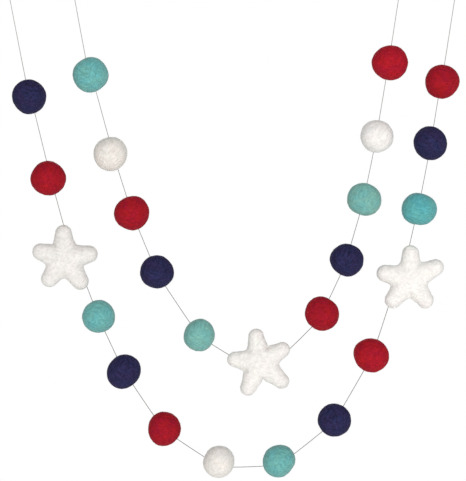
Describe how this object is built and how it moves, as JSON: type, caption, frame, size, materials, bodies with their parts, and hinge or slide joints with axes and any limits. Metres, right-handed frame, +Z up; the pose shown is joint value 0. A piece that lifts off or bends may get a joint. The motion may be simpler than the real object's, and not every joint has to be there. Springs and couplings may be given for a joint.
{
  "type": "felt ball garland",
  "caption": "Felt ball garland of wool balls and plump felted stars threaded on one thin string, hung in an outer and an inner swag from tied loops.",
  "frame": {"origin": "middle of the hanging line, level with the tops of the four tied loops", "axes": "+X along the wall to the viewer's right, +Y from the viewer towards the wall, +Z up"},
  "size_m": [0.3409, 0.0262, 0.3764],
  "materials": {
    "navy_wool": "matt needle felt with a short haze of loose fibre",
    "red_wool": "matt needle felt with a short haze of loose fibre",
    "aqua_wool": "matt needle felt with a short haze of loose fibre",
    "white_wool": "matt needle felt with a short haze of loose fibre",
    "string": "thin twisted string, slightly glossy"
  },
  "bodies": {
    "root": {"outer_01_navy_ball": "navy_wool", "outer_02_red_ball": "red_wool", "outer_03_star": "white_wool", "outer_04_aqua_ball": "aqua_wool", "outer_05_navy_ball": "navy_wool", "outer_06_red_ball": "red_wool", "outer_07_white_ball": "white_wool", "outer_08_aqua_ball": "aqua_wool", "outer_09_navy_ball": "navy_wool", "outer_10_red_ball": "red_wool", "outer_11_star": "white_wool", "outer_12_aqua_ball": "aqua_wool", "outer_13_navy_ball": "navy_wool", "outer_14_red_ball": "red_wool", "inner_01_aqua_ball": "aqua_wool", "inner_02_white_ball": "white_wool", "inner_03_red_ball": "red_wool", "inner_04_navy_ball": "navy_wool", "inner_05_aqua_ball": "aqua_wool", "inner_06_star": "white_wool", "inner_07_red_ball": "red_wool", "inner_08_navy_ball": "navy_wool", "inner_09_aqua_ball": "aqua_wool", "inner_10_white_ball": "white_wool", "inner_11_red_ball": "red_wool", "outer_string": "string", "inner_string": "string", "bridge_string": "string", "outer_left_knot": "string", "outer_left_loop": "string", "outer_right_knot": "string", "outer_right_loop": "string", "inner_left_knot": "string", "inner_left_loop": "string", "inner_right_knot": "string", "inner_right_loop": "string"}
  },
  "joints": []
}
